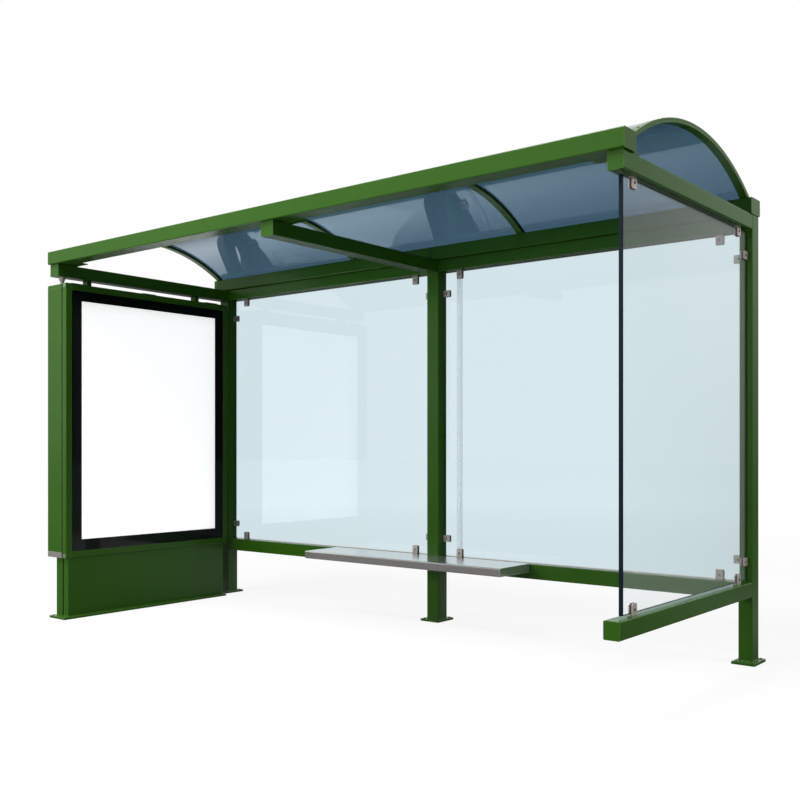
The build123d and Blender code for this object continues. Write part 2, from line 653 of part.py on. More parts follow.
def door_mask():
    """Black border on the back of the glass."""
    x1 = DOOR_FRONT_X - DOOR_WALL - DOOR_GLASS
    ring = case_window(DOOR_FRAME - DOOR_LIP, x1 - MASK, x1)
    side = DOOR_FRAME + MASK_SIDE
    return ring - block(x1 - MASK - 1, x1 + 1, CASE_Y0 + side, CASE_Y1 - side,
                        CASE_BOTTOM + DOOR_FRAME + MASK_BOTTOM, CASE_TOP - DOOR_FRAME - MASK_TOP)


def hinge_places():
    """Middles of the hinges along the case's top edge."""
    centre = (CASE_Y0 + CASE_Y1) / 2
    pitch = (CASE_WIDTH - 2 * HINGE_INSET) / (HINGE_COUNT - 1)
    return [centre + (i - (HINGE_COUNT - 1) / 2) * pitch for i in range(HINGE_COUNT)]


def knuckle(y0, y1):
    """Stretch of hinge barrel."""
    plane = Plane(origin=(HINGE_X, y0, HINGE_Z), x_dir=(1, 0, 0), z_dir=(0, 1, 0))
    return extrude(plane * Circle(HINGE_BARREL / 2), y1 - y0)


def hinge_pin(y, radius, length):
    """Round bar along the hinge axis, centred on one hinge."""
    plane = Plane(origin=(HINGE_X, y, HINGE_Z), x_dir=(1, 0, 0), z_dir=(0, 1, 0))
    return extrude(plane * Circle(radius), length / 2, both=True)


def case_hinges():
    """Fixed halves: a leaf on the case's top cap, the two outer knuckles and the pin."""
    made = []
    third = HINGE_LENGTH / 3
    for y in hinge_places():
        y0 = y - HINGE_LENGTH / 2
        clear_x = HINGE_X - HINGE_BARREL / 2 - HINGE_CLEARANCE
        half = block(HINGE_X - HINGE_LEAF_WIDTH, clear_x, y0, y0 + HINGE_LENGTH,
                     CASE_TOP, CASE_TOP + HINGE_LEAF)
        for start in (y0, y0 + 2 * third):
            half += knuckle(start, start + third)
            half += block(clear_x, HINGE_X, start, start + third, CASE_TOP, CASE_TOP + HINGE_LEAF)
        half += hinge_pin(y, HINGE_PIN / 2, HINGE_LENGTH)
        made.append(half)
    return joined(made)


def door_hinges():
    """Moving halves: a leaf on the top of the door with the middle knuckle."""
    made = []
    length = HINGE_LENGTH / 3 - 2 * HINGE_END_PLAY
    for y in hinge_places():
        y0 = y - length / 2
        half = knuckle(y0, y0 + length)
        half += block(HINGE_X, DOOR_BACK_X + HINGE_LEAF_WIDTH, y0, y0 + length,
                      CASE_TOP + HINGE_LIFT, CASE_TOP + HINGE_LEAF)
        half += block(DOOR_BACK_X, DOOR_BACK_X + HINGE_LEAF_WIDTH, y0, y0 + length,
                      CASE_TOP, CASE_TOP + HINGE_LEAF)
        half -= hinge_pin(y, HINGE_PIN / 2 + HINGE_FIT, 2 * length)
        made.append(half)
    return joined(made)


def case_hangers():
    """Short box tubes from the arm down to the case's top cap."""
    made = []
    x = LEFT_POST_X + HANGER_INWARD
    across = HANGER_ACROSS / 2
    along = HANGER_ALONG / 2
    for y in (FRONT - HANGER_REAR, FRONT - HANGER_REAR - HANGER_PITCH):
        made.append(tube(x - across, x + across, y - along, y + along, CASE_TOP, ARM_BOTTOM, "Z"))
    return joined(made)


def build_case():
    save(case_housing(), "case_housing")
    save(case_top_cap(), "case_top_cap")
    save(case_bottom_cap(), "case_bottom_cap")
    save(case_gasket(), "case_gasket")
    save(light_panel(), "light_panel")
    save(poster(), "poster")
    save(case_hinges(), "case_hinges")
    save(case_hangers(), "case_hangers")
    save(door_stiles(), "door_stiles")
    save(door_rails(), "door_rails")
    save(door_glass(), "door_glass")
    save(door_mask(), "door_mask")
    save(door_hinges(), "door_hinges")


# ---------------------------------------------------------------- plinth

def plinth_panel(x0, x1, opening):
    """Folded sheet panel, open towards the middle of the plinth."""
    solid = block(x0, x1, PLINTH_Y0, PLINTH_Y1, FOOT_THICKNESS, PLINTH_TOP)
    faces = solid.faces().sort_by(Axis.X)
    return offset(solid, -PLINTH_SHEET, openings=faces[-1] if opening > 0 else faces[0])


def plinth_uprights():
    """Two tubes that stand on the foot plate and carry the case."""
    x0 = PLINTH_X0 + PLINTH_OUTER_PANEL
    made = []
    for y in (PLINTH_Y0 + PLINTH_UPRIGHT_INSET, PLINTH_Y1 - PLINTH_UPRIGHT_INSET - PLINTH_UPRIGHT):
        made.append(block(x0, x0 + PLINTH_RECESS, y, y + PLINTH_UPRIGHT, FOOT_THICKNESS, CASE_BOTTOM))
    return joined(made)


def build_plinth():
    inner_x = PLINTH_X1 - PLINTH_INNER_PANEL
    save(plinth_panel(inner_x, PLINTH_X1, -1), "plinth_panel_inner")
    save(plinth_panel(PLINTH_X0, PLINTH_X0 + PLINTH_OUTER_PANEL, 1), "plinth_panel_outer")
    save(plinth_uprights(), "plinth_uprights")
    save(foot(PLINTH_X0, PLINTH_X1 + PLINTH_FOOT_INNER, PLINTH_Y0 - PLINTH_FOOT_FRONT, PLINTH_Y1),
         "foot_plinth")
    save(joined([post_foot(LEFT_POST_X, POST_WIDTH), post_foot(0, POST_WIDTH),
                 post_foot(RIGHT_POST_X, RIGHT_POST_WIDTH)]), "post_feet")


def build():
    os.makedirs("parts", exist_ok=True)
    build_rear_frame()
    build_arms_and_beams()
    build_roof()
    build_glazing()
    build_bench()
    build_case()
    build_plinth()


build()
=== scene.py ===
import json
import math
import bmesh
import bpy
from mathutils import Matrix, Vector
from mathutils.bvhtree import BVHTree


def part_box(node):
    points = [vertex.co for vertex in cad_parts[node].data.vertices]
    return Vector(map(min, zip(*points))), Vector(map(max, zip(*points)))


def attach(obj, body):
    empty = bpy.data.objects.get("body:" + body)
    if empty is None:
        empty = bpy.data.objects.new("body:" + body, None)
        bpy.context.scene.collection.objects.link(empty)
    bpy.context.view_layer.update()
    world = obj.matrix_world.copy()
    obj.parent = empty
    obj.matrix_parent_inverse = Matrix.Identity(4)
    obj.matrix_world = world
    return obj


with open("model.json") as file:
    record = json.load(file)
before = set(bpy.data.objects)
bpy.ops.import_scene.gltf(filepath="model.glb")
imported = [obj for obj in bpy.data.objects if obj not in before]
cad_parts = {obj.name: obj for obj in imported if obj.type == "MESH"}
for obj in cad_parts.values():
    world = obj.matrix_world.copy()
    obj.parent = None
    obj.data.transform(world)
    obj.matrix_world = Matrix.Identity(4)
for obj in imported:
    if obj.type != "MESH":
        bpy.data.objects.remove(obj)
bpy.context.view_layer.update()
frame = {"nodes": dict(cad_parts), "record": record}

MM = 0.001

# Studio
WORLD_LIGHT = 0.27                # soft light from all round
WALL_LEVELS = ((-1.0, 0.9), (-0.5, 1.0), (0.0, 0.85), (0.37, 0.75), (0.46, 0.28),
               (0.7, 0.06), (1.0, 0.03))        # direction along the shelter, brightness in gloss
FLOOR_HALF = 60.0
FLOOR_DROP = 0.0005               # below the feet, so that the two don't flicker
SHEEN_SHIFT = (1.391, -1.46, 0.0)     # these two bring the patch of floor that is bright in
SHEEN_SCALE = (0.2174, 0.769, 1.0)    # gloss, behind the left end, to a circle about 0

# Finishes, as linear colours
PAINT_GREEN = (0.03, 0.105, 0.0065)
ROOF_TINT = (0.06, 0.125, 0.195, 1.0)
ROOF_SHADOW_TINT = (0.1, 0.16, 0.22, 1.0)
WHITE = (1.0, 1.0, 1.0, 1.0)
PAINT_EDGE_HIGHLIGHT = 3 * MM               # reach of the painted highlight beside a sharp edge
# reach of the painted highlight along the bench's edges
BENCH_EDGE_HIGHLIGHT = 3 * MM

# Small pieces
CAP_PROFILE = ((9.5 * MM, 0.0), (9.5 * MM, 1.2 * MM), (8.5 * MM, 3 * MM), (6 * MM, 4.5 * MM),
               (3 * MM, 5.2 * MM))
CLAMP_SCREW = 6.5 * MM            # radius
COVER_SCREW = 7 * MM
COVER_SCREWS_EACH = 6
PAD_OFF_MIDDLE = 6.1 * MM         # rubber pads: from the pane's middle plane
PAD_THICKNESS = 1.4 * MM
PAD_LIP = 0.4 * MM
FOOT_WELD = 4.5 * MM
ARM_WELD = 3.5 * MM
WELD_STEP = 5 * MM
WELD_TRIM = 4 * MM                # short of a corner, along a foot
ARM_WELD_TRIM = 6 * MM
STUD_TOP = 23 * MM                # radius
STUD_FOOT = 13 * MM
STUD_FROM_FRONT = 34 * MM
STUD_NUT = 30 * MM                # across flats
KEY_LENGTH = 30 * MM
KEY_FROM_END = 3 * MM
KEY_PROUD = 0.9 * MM
JOINT_HALF = 3 * MM
JOINT_PROUD = 0.6 * MM
JOINT_INSET = 6 * MM
STRIP_PROUD = 1.8 * MM
STRIP_OFF_GLASS = 0.1 * MM
STRIP_END_GAP = 2 * MM
DARK_BAND_PROUD = 0.4 * MM             # dark band: beyond a pane's face
DARK_BAND_OVER = 1.2 * MM              # beyond its top or bottom edge
DARK_BAND_FRONT = 18 * MM              # width at the front edge


# ---------------------------------------------------------------- camera

def make_camera():
    """Eye height camera in front of the right end, as the photograph was taken."""
    data = bpy.data.cameras.new("camera")
    data.sensor_width = 36.0
    data.lens = 44.41
    data.shift_x = -0.0434
    data.shift_y = 0.0576
    data.clip_end = 100.0
    camera = bpy.data.objects.new("camera", data)
    camera.location = (4.204, -5.422, 1.209)
    camera.rotation_euler = (math.radians(90.0), 0.0, math.radians(37.92))
    bpy.context.collection.objects.link(camera)
    bpy.context.scene.camera = camera


# ---------------------------------------------------------------- node helpers

class Nodes:
    """Short way to write a node tree."""

    def __init__(self, tree):
        self.tree = tree
        tree.nodes.clear()

    def add(self, kind, settings=None, **inputs):
        node = self.tree.nodes.new(kind)
        for name, value in (settings or {}).items():
            setattr(node, name, value)
        for name, value in inputs.items():
            self.put(node, name.replace("_", " "), value)
        return node

    def put(self, node, name, value):
        socket = node.inputs[int(name)] if name.isdigit() else node.inputs[name]
        if isinstance(value, bpy.types.NodeSocket):
            self.tree.links.new(value, socket)
        elif isinstance(value, bpy.types.Node):
            self.tree.links.new(value.outputs[0], socket)
        else:
            socket.default_value = value


def srgb(r, g, b):
    """Linear colour of an 8-bit screen colour."""
    def lin(v):
        v /= 255.0
        return v / 12.92 if v <= 0.04045 else ((v + 0.055) / 1.055) ** 2.4
    return (lin(r), lin(g), lin(b), 1.0)


def new_material(name):
    """Material with its node tree and an empty output."""
    material = bpy.data.materials.new(name)
    material.use_nodes = True
    n = Nodes(material.node_tree)
    return material, n, n.add("ShaderNodeOutputMaterial")


def shade(colour, factor):
    """The same colour, darker or lighter."""
    return tuple(min(1.0, c * factor) for c in colour[:3]) + (1.0,)


def mixed(n, factor, first, second):
    """Colour between two others."""
    node = n.add("ShaderNodeMix", {"data_type": "RGBA"})
    n.put(node, "Factor", factor)
    n.put(node, "6", first)
    n.put(node, "7", second)
    return node.outputs[2]


def number(n, operation, *values):
    """Result of a Math node."""
    node = n.add("ShaderNodeMath", {"operation": operation})
    for index, value in enumerate(values):
        n.put(node, str(index), value)
    return node.outputs[0]


def blended(n, factor, first, second):
    """Mix Shader between two others."""
    mix = n.add("ShaderNodeMixShader")
    n.put(mix, "0", factor)
    n.put(mix, "1", first)
    n.put(mix, "2", second)
    return mix


def edge_mask(n, radius):
    """1 on a sharp edge, 0 on a flat face."""
    rounded = n.add("ShaderNodeBevel", {"samples": 6}, Radius=radius)
    flat = n.add("ShaderNodeNewGeometry").outputs["Normal"]
    turn = n.add("ShaderNodeVectorMath", {"operation": "DOT_PRODUCT"})
    n.tree.links.new(rounded.outputs[0], turn.inputs[0])
    n.tree.links.new(flat, turn.inputs[1])
    return n.add("ShaderNodeMapRange", Value=turn.outputs["Value"], From_Min=1.0, From_Max=0.86,
                 To_Min=0.0, To_Max=1.0).outputs[0]


# ---------------------------------------------------------------- materials

def green_paint():
    """Satin powder coat: fine orange peel, slightly uneven gloss, and a painted highlight that
    pales its edges.
    """
    material, n, out = new_material("green_powder_coat")
    place = n.add("ShaderNodeTexCoord").outputs["Object"]
    broad = n.add("ShaderNodeTexNoise", Vector=place, Scale=2.2, Detail=3.0).outputs["Fac"]
    peel = n.add("ShaderNodeTexNoise", Vector=place, Scale=520.0, Detail=2.0).outputs["Fac"]
    body = mixed(n, broad, shade(PAINT_GREEN, 0.9), shade(PAINT_GREEN, 1.1))
    # painted highlight: the green turns toward a light green along sharp edges
    pale = number(n, "MULTIPLY", edge_mask(n, PAINT_EDGE_HIGHLIGHT), 0.5)
    colour = mixed(n, pale, body, srgb(126, 158, 96))
    rough = n.add("ShaderNodeMapRange", Value=broad, To_Min=0.2, To_Max=0.28)
    bump = n.add("ShaderNodeBump", Height=peel, Strength=0.06, Distance=0.0006)
    shader = n.add("ShaderNodeBsdfPrincipled", Base_Color=colour, Roughness=rough.outputs[0],
                   Normal=bump)
    shader.inputs["Specular IOR Level"].default_value = 0.4
    n.put(out, "Surface", shader)
    return material


def plain(name, tone, rough, metallic=0.0, grain=180.0, strength=0.05, gloss=0.5):
    """Solid finish with a little grain."""
    material, n, out = new_material(name)
    place = n.add("ShaderNodeTexCoord").outputs["Object"]
    noise = n.add("ShaderNodeTexNoise", Vector=place, Scale=grain, Detail=4.0).outputs["Fac"]
    base = srgb(*tone)
    bump = n.add("ShaderNodeBump", Height=noise, Strength=strength, Distance=0.0005)
    shader = n.add("ShaderNodeBsdfPrincipled", Base_Color=mixed(n, noise, shade(base, 0.86), base),
                   Roughness=rough, Metallic=metallic, Normal=bump)
    shader.inputs["Specular IOR Level"].default_value = gloss
    n.put(out, "Surface", shader)
    return material


def brushed_steel(name, tone, stretch, smooth, dull, metallic=1.0, painted_edge_highlight=0.0):
    """Stainless steel, brushed along one axis, with a painted highlight along its edges if asked.
    """
    material, n, out = new_material(name)
    place = n.add("ShaderNodeTexCoord").outputs["Object"]
    drawn = n.add("ShaderNodeMapping", Vector=place, Scale=stretch)
    lines = n.add("ShaderNodeTexNoise", Vector=drawn, Scale=1.0, Detail=3.0).outputs["Fac"]
    rough = n.add("ShaderNodeMapRange", Value=lines, To_Min=smooth, To_Max=dull)
    bump = n.add("ShaderNodeBump", Height=lines, Strength=0.08, Distance=0.0003)
    colour = mixed(n, lines, shade(srgb(*tone), 0.8), shade(srgb(*tone), 1.15))
    # painted highlight: whiter and less metallic along sharp edges
    if painted_edge_highlight:
        edge = edge_mask(n, painted_edge_highlight)
        colour = mixed(n, edge, colour, WHITE)
        metallic = number(n, "MULTIPLY_ADD", edge, -0.7, metallic)
    shader = n.add("ShaderNodeBsdfPrincipled", Base_Color=colour, Roughness=rough.outputs[0],
                   Metallic=metallic, Normal=bump)
    n.put(out, "Surface", shader)
    return material


def on_edge(n, face_axis):
    """1 on the ground edges of a pane, 0 on its two faces."""
    normal = n.add("ShaderNodeTexCoord").outputs["Normal"]
    split = n.add("ShaderNodeSeparateXYZ", Vector=normal)
    size = number(n, "ABSOLUTE", split.outputs["XYZ".index(face_axis)])
    return number(n, "LESS_THAN", size, 0.5)


def let_lamps_through(n, surface, tint):
    """The same surface, but tinted clear for the light of the lamps."""
    clear = n.add("ShaderNodeBsdfTransparent", Color=tint)
    return blended(n, n.add("ShaderNodeLightPath").outputs["Is Shadow Ray"], surface, clear)


def clear_glass(name, face_axis, tone, edge_tone, haze, ior):
    """Toughened glass: clear faces, hazy if asked, and ground edges of another colour."""
    material, n, out = new_material(name)
    place = n.add("ShaderNodeTexCoord").outputs["Object"]
    wave = n.add("ShaderNodeTexNoise", Vector=place, Scale=1.3, Detail=1.0).outputs["Fac"]
    bump = n.add("ShaderNodeBump", Height=wave, Strength=0.02, Distance=0.002)
    face = n.add("ShaderNodeBsdfPrincipled", Base_Color=srgb(*tone), Roughness=0.02, Normal=bump)
    face.inputs["Transmission Weight"].default_value = 1.0 - haze
    face.inputs["IOR"].default_value = ior
    rim = n.add("ShaderNodeBsdfPrincipled", Base_Color=srgb(*edge_tone), Roughness=0.3)
    clear = let_lamps_through(n, face, shade(srgb(*tone), 0.9))
    n.put(out, "Surface", blended(n, on_edge(n, face_axis), clear, rim))
    return material


def tinted_sheet():
    """Blue-grey clear roof sheet with a glossy skin."""
    material, n, out = new_material("tinted_roof_sheet")
    place = n.add("ShaderNodeTexCoord").outputs["Object"]
    wave = n.add("ShaderNodeTexNoise", Vector=place, Scale=1.1, Detail=2.0).outputs["Fac"]
    bump = n.add("ShaderNodeBump", Height=wave, Strength=0.04, Distance=0.004)
    shader = n.add("ShaderNodeBsdfPrincipled", Base_Color=ROOF_TINT,
                   Roughness=0.03, Normal=bump)
    shader.inputs["Transmission Weight"].default_value = 1.0
    shader.inputs["IOR"].default_value = 2.2
    shader.inputs["Specular Tint"].default_value = (0.8, 0.92, 1.0, 1.0)
    n.put(out, "Surface", let_lamps_through(n, shader, ROOF_SHADOW_TINT))
    return material


def poster_paper():
    """White poster that glows as if lit from behind, with painted shade dimming its left and top
    edges.
    """
    material, n, out = new_material("poster_paper")
    place = n.add("ShaderNodeTexCoord").outputs["Object"]
    fibre = n.add("ShaderNodeTexNoise", Vector=place, Scale=160.0, Detail=4.0).outputs["Fac"]
    bump = n.add("ShaderNodeBump", Height=fibre, Strength=0.03, Distance=0.0003)
    shader = n.add("ShaderNodeBsdfPrincipled", Base_Color=(0.9, 0.9, 0.9, 1.0), Roughness=0.6,
                   Normal=bump)
    shader.inputs["Emission Color"].default_value = WHITE
    # painted shade: the glow is weaker along the left and top edges, standing in for the frame's
    # shadow
    spread = n.add("ShaderNodeTexCoord").outputs["Generated"]
    across = n.add("ShaderNodeSeparateXYZ", Vector=spread)
    left = n.add("ShaderNodeMapRange", Value=across.outputs["Y"], From_Min=0.02, From_Max=0.075,
                 To_Min=0.9, To_Max=1.0).outputs[0]
    top = n.add("ShaderNodeMapRange", Value=across.outputs["Z"], From_Min=0.94, From_Max=0.985,
                To_Min=0.89, To_Max=0.8).outputs[0]
    n.put(shader, "Emission Strength", number(n, "MULTIPLY", left, top))
    n.put(out, "Surface", shader)
    return material


# ---------------------------------------------------------------- studio

def ray_kinds(n):
    """Two masks: rays from the camera, also through glass, and reflected rays, also through
    glass. Light that falls on a dull surface is in neither."""
    path = n.add("ShaderNodeLightPath").outputs
    dull = number(n, "LESS_THAN", path["Diffuse Depth"], 0.5)
    mirrored = number(n, "GREATER_THAN", path["Glossy Depth"], 0.5)
    through = path["Is Transmission Ray"]
    direct = number(n, "MULTIPLY", dull, number(n, "SUBTRACT", 1.0, mirrored))
    seen = number(n, "MULTIPLY", number(n, "MAXIMUM", path["Is Camera Ray"], through), direct)
    shiny = number(n, "MAXIMUM", path["Is Glossy Ray"], through)
    return seen, number(n, "MULTIPLY", number(n, "MULTIPLY", shiny, mirrored), dull)


def studio_walls(n):
    """Brightness of the studio in a reflection: bright behind the left end, darker in front,
    and dark behind the right end, most of all near the floor."""
    where = n.add("ShaderNodeTexCoord").outputs["Generated"]
    along, depth, height = n.add("ShaderNodeSeparateXYZ", Vector=where).outputs
    side = n.add("ShaderNodeValToRGB")
    side.color_ramp.elements.remove(side.color_ramp.elements[1])
    for turn, level in WALL_LEVELS:
        stop = side.color_ramp.elements.new((turn + 1.0) / 2.0)
        stop.color = (level, level, level, 1.0)
    n.put(side, "Fac", number(n, "MULTIPLY_ADD", along, 0.5, 0.5))
    front = n.add("ShaderNodeMapRange", Value=depth, From_Min=-0.5, From_Max=0.1, To_Min=0.52,
                  To_Max=1.0).outputs[0]
    right = n.add("ShaderNodeMapRange", Value=along, From_Min=0.0, From_Max=0.25, To_Min=0.0,
                  To_Max=1.0).outputs[0]
    low = n.add("ShaderNodeMapRange", Value=height, From_Min=0.02, From_Max=0.26, To_Min=0.75,
                To_Max=0.0).outputs[0]
    dim = number(n, "SUBTRACT", 1.0, number(n, "MULTIPLY", right, low))
    return number(n, "MULTIPLY", number(n, "MULTIPLY", side.outputs[0], front), dim)


def make_world():
    """White for the camera and through glass, a soft dim light, and studio walls in gloss."""
    world = bpy.data.worlds.new("studio")
    world.use_nodes = True
    bpy.context.scene.world = world
    n = Nodes(world.node_tree)
    out = n.add("ShaderNodeOutputWorld")
    seen, shiny = ray_kinds(n)
    light = number(n, "MULTIPLY", number(n, "SUBTRACT", 1.0, shiny), WORLD_LIGHT)
    rest = number(n, "MULTIPLY_ADD", shiny, studio_walls(n), light)
    back = n.add("ShaderNodeBackground", Color=WHITE, Strength=number(n, "MAXIMUM", seen, rest))
    n.put(out, "Surface", back)


def make_floor():
    """Pale floor that keeps the shadow of the shelter. It is almost white for the camera and
    through glass, has a bright patch in gloss, and is darker for the light it throws back."""
    mesh = bpy.data.meshes.new("floor")
    half = FLOOR_HALF
    mesh.from_pydata([(-half, -half, 0.0), (half, -half, 0.0), (half, half, 0.0),
                      (-half, half, 0.0)], [], [(0, 1, 2, 3)])
    floor = bpy.data.objects.new("floor", mesh)
    floor.location.z = -FLOOR_DROP
    bpy.context.collection.objects.link(floor)
    material, n, out = new_material("floor")
    place = n.add("ShaderNodeTexCoord").outputs["Object"]
    away = n.add("ShaderNodeVectorMath", {"operation": "LENGTH"}, Vector=place).outputs["Value"]
    far = n.add("ShaderNodeMapRange", Value=away, From_Min=4.0, From_Max=14.0, To_Min=0.87,
                To_Max=1.0).outputs[0]
    pale = n.add("ShaderNodeBsdfDiffuse", Color=(0.13, 0.13, 0.13, 1.0))
    glow = n.add("ShaderNodeEmission", Color=WHITE, Strength=far)
    white = n.add("ShaderNodeAddShader")
    n.put(white, "0", pale)
    n.put(white, "1", glow)
    reach = n.add("ShaderNodeMapping", Vector=place, Location=SHEEN_SHIFT, Scale=SHEEN_SCALE)
    off = n.add("ShaderNodeVectorMath", {"operation": "LENGTH"}, Vector=reach).outputs["Value"]
    patch = n.add("ShaderNodeMapRange", Value=off, From_Min=0.2, From_Max=2.3, To_Min=1.25,
                  To_Max=0.1).outputs[0]
    sheen = n.add("ShaderNodeEmission", Color=WHITE, Strength=patch)
    dull = n.add("ShaderNodeBsdfDiffuse", Color=(0.33, 0.33, 0.33, 1.0))
    seen, shiny = ray_kinds(n)
    n.put(out, "Surface", blended(n, seen, blended(n, shiny, dull, sheen), white))
    material.cycles.emission_sampling = "NONE"
    mesh.materials.append(material)


def area_light(name, place, target, size, power, in_gloss=True):
    """Rectangular lamp aimed at a point. No lamp is seen, directly or through glass."""
    data = bpy.data.lights.new(name, "AREA")
    data.shape = "RECTANGLE"
    data.size, data.size_y = size
    data.energy = power
    lamp = bpy.data.objects.new(name, data)
    lamp.location = place
    lamp.visible_camera = False
    lamp.visible_transmission = False
    lamp.visible_glossy = in_gloss
    aim = Vector(target) - Vector(place)
    lamp.rotation_euler = aim.to_track_quat("-Z", "Y").to_euler()
    bpy.context.collection.objects.link(lamp)


# ---------------------------------------------------------------- mesh helpers

def piece(name, bm, material, body):
    """One new object from a bmesh, in its finish, riding on a body."""
    bmesh.ops.recalc_face_normals(bm, faces=bm.faces[:])
    mesh = bpy.data.meshes.new(name)
    bm.to_mesh(mesh)
    bm.free()
    mesh.materials.append(material)
    obj = bpy.data.objects.new(name, mesh)
    bpy.context.collection.objects.link(obj)
    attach(obj, body)


def slab(bm, low, high):
    """Box between two corners."""
    made = bmesh.ops.create_cube(bm, size=1.0)["verts"]
    low, high = Vector(low), Vector(high)
    for vert in made:
        vert.co = (low + high) / 2.0 + Vector(c * (b - a) for c, a, b in zip(vert.co, low, high))


def turned(bm, at, axis, profile, sides):
    """Solid turned about an axis from (radius, height) pairs, closed at both ends."""
    spin = Vector((0, 0, 1)).rotation_difference(Vector(axis))
    rings = []
    for radius, height in profile:
        ring = []
        for i in range(sides):
            turn = 2.0 * math.pi * (i + 0.5) / sides
            point = Vector((radius * math.cos(turn), radius * math.sin(turn), height))
            ring.append(bm.verts.new(Vector(at) + spin @ point))
        rings.append(ring)
    for lower, upper in zip(rings, rings[1:]):
        for i in range(sides):
            j = (i + 1) % sides
            bm.faces.new((lower[i], lower[j], upper[j], upper[i]))
    bm.faces.new(rings[0][::-1])
    bm.faces.new(rings[-1])


def hex_nut(bm, at, axis, across, height):
    """Nut or bolt head with chamfered corners."""
    corner = across / math.sqrt(3.0)
    turned(bm, at, axis, ((corner * 0.9, 0.0), (corner, height * 0.12),
                          (corner, height * 0.82), (corner * 0.86, height)), 6)


def button_screw(bm, at, axis, radius):
    """Domed screw head with a socket in it."""
    turned(bm, at, axis, ((radius, 0.0), (radius, radius * 0.2), (radius * 0.86, radius * 0.42),
                          (radius * 0.6, radius * 0.56), (radius * 0.42, radius * 0.6),
                          (radius * 0.36, radius * 0.2)), 18)


def islands(node):
    """Box of each separate solid in a CAD node, as (low, high), in a fixed order."""
    bm = bmesh.new()
    bm.from_mesh(frame["nodes"][node].data)
    bmesh.ops.remove_doubles(bm, verts=bm.verts[:], dist=1e-5)
    left, boxes = set(bm.verts), []
    while left:
        group, todo = [], [left.pop()]
        while todo:
            vert = todo.pop()
            group.append(vert.co.copy())
            for edge in vert.link_edges:
                other = edge.other_vert(vert)
                if other in left:
                    left.remove(other)
                    todo.append(other)
        boxes.append((Vector(map(min, *group)), Vector(map(max, *group))))
    bm.free()
    return sorted(boxes, key=lambda box: tuple(round(c, 4) for c in box[0]))


# ---------------------------------------------------------------- small pieces

def anchor_caps(material):
    """Low painted cap over each anchor hole of the foot plates."""
    bm = bmesh.new()
    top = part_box("post_feet")[1].z
    for mount in frame["record"]["mounts"]:
        if mount["kind"] != "bolt_pattern":
            continue
        x, y = mount["pos_m"][:2]
        half_x = mount["dims"]["spacing_x_mm"] * MM / 2.0
        half_y = mount["dims"]["spacing_y_mm"] * MM / 2.0
        for at_x in (x - half_x, x + half_x):
            for at_y in (y - half_y, y + half_y):
                turned(bm, (at_x, at_y, top), (0, 0, 1), CAP_PROFILE, 20)
    piece("anchor_caps", bm, material, "shelter")


def clamp_details(node, through, steel, rubber):
    """A screw on both faces of each clamp, and the edges of its rubber pads. `through` is the
    axis across the pane."""
    screws, pads = bmesh.new(), bmesh.new()
    lip = Vector((PAD_LIP,) * 3)
    for low, high in islands(node):
        middle = (low + high) / 2.0
        for side in (-1, 1):
            at = middle.copy()
            at[through] = high[through] if side > 0 else low[through]
            axis = Vector((0, 0, 0))
            axis[through] = side
            button_screw(screws, at, axis, CLAMP_SCREW)
            near = middle[through] + side * PAD_OFF_MIDDLE
            far = near + side * PAD_THICKNESS
            a, b = low - lip, high + lip
            a[through], b[through] = min(near, far), max(near, far)
            slab(pads, a, b)
    piece(node + "_screws", screws, steel, "shelter")
    piece(node + "_pads", pads, rubber, "shelter")


def bead(bm, start, end, out_a, out_b, size):
    """Weld bead in the corner between two faces that turn out to `out_a` and `out_b`."""
    start, end = Vector(start), Vector(end)
    length = (end - start).length
    steps = max(2, int(length / WELD_STEP))
    rings = []
    for i in range(steps + 1):
        swell = size * (0.82 + 0.18 * math.cos(i * 2.4))
        at = start.lerp(end, i / steps)
        a, b = Vector(out_a) * swell, Vector(out_b) * swell
        rings.append([bm.verts.new(at + shift) for shift in
                      (a, a * 0.62 + b * 0.62, b, a * -0.2 + b * -0.2)])
    for first, second in zip(rings, rings[1:]):
        for i in range(4):
            j = (i + 1) % 4
            bm.faces.new((first[i], first[j], second[j], second[i]))
    bm.faces.new(rings[0])
    bm.faces.new(rings[-1][::-1])


def collar(bm, low, high, z, size):
    """Weld bead round a post that stands on a plate."""
    corners = [(low.x, low.y), (high.x, low.y), (high.x, high.y), (low.x, high.y)]
    outs = [(0, -1, 0), (1, 0, 0), (0, 1, 0), (-1, 0, 0)]
    for i, out in enumerate(outs):
        (x0, y0), (x1, y1) = corners[i], corners[(i + 1) % 4]
        along = Vector((x1 - x0, y1 - y0, 0)).normalized() * WELD_TRIM
        bead(bm, Vector((x0, y0, z)) + along, Vector((x1, y1, z)) - along, out, (0, 0, 1), size)


def welds(material):
    """Beads round the feet of the posts, and along the front of each post under the arms and the
    sill.
    """
    bm = bmesh.new()
    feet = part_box("post_feet")[1].z
    for node in ("post_left", "post_middle", "post_right"):
        collar(bm, *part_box(node), feet, FOOT_WELD)
    for node, post in (("roof_arm_left", "post_left"), ("roof_arm_middle", "post_middle"),
                       ("roof_arm_right", "post_right"), ("side_sill", "post_right")):
        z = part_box(node)[0].z
        low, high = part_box(post)
        bead(bm, (low.x + ARM_WELD_TRIM, low.y, z), (high.x - ARM_WELD_TRIM, low.y, z),
             (0, 0, -1), (0, -1, 0), ARM_WELD)
    piece("weld_beads", bm, material, "shelter")


def case_stud(steel):
    """Tapered levelling stud between the left arm and the case, with its lock nut."""
    bm = bmesh.new()
    hangers_low, hangers_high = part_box("case_hangers")
    cap_low, cap_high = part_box("case_top_cap")
    tall = hangers_high.z - cap_high.z
    at = ((hangers_low.x + hangers_high.x) / 2.0, cap_low.y + STUD_FROM_FRONT, cap_high.z)
    turned(bm, at, (0, 0, 1), ((STUD_FOOT, 0.0), (STUD_FOOT, tall * 0.3),
                               (STUD_TOP, tall * 0.75), (STUD_TOP, tall)), 24)
    hex_nut(bm, at, (0, 0, 1), STUD_NUT, tall * 0.22)
    piece("case_levelling_stud", bm, steel, "shelter")


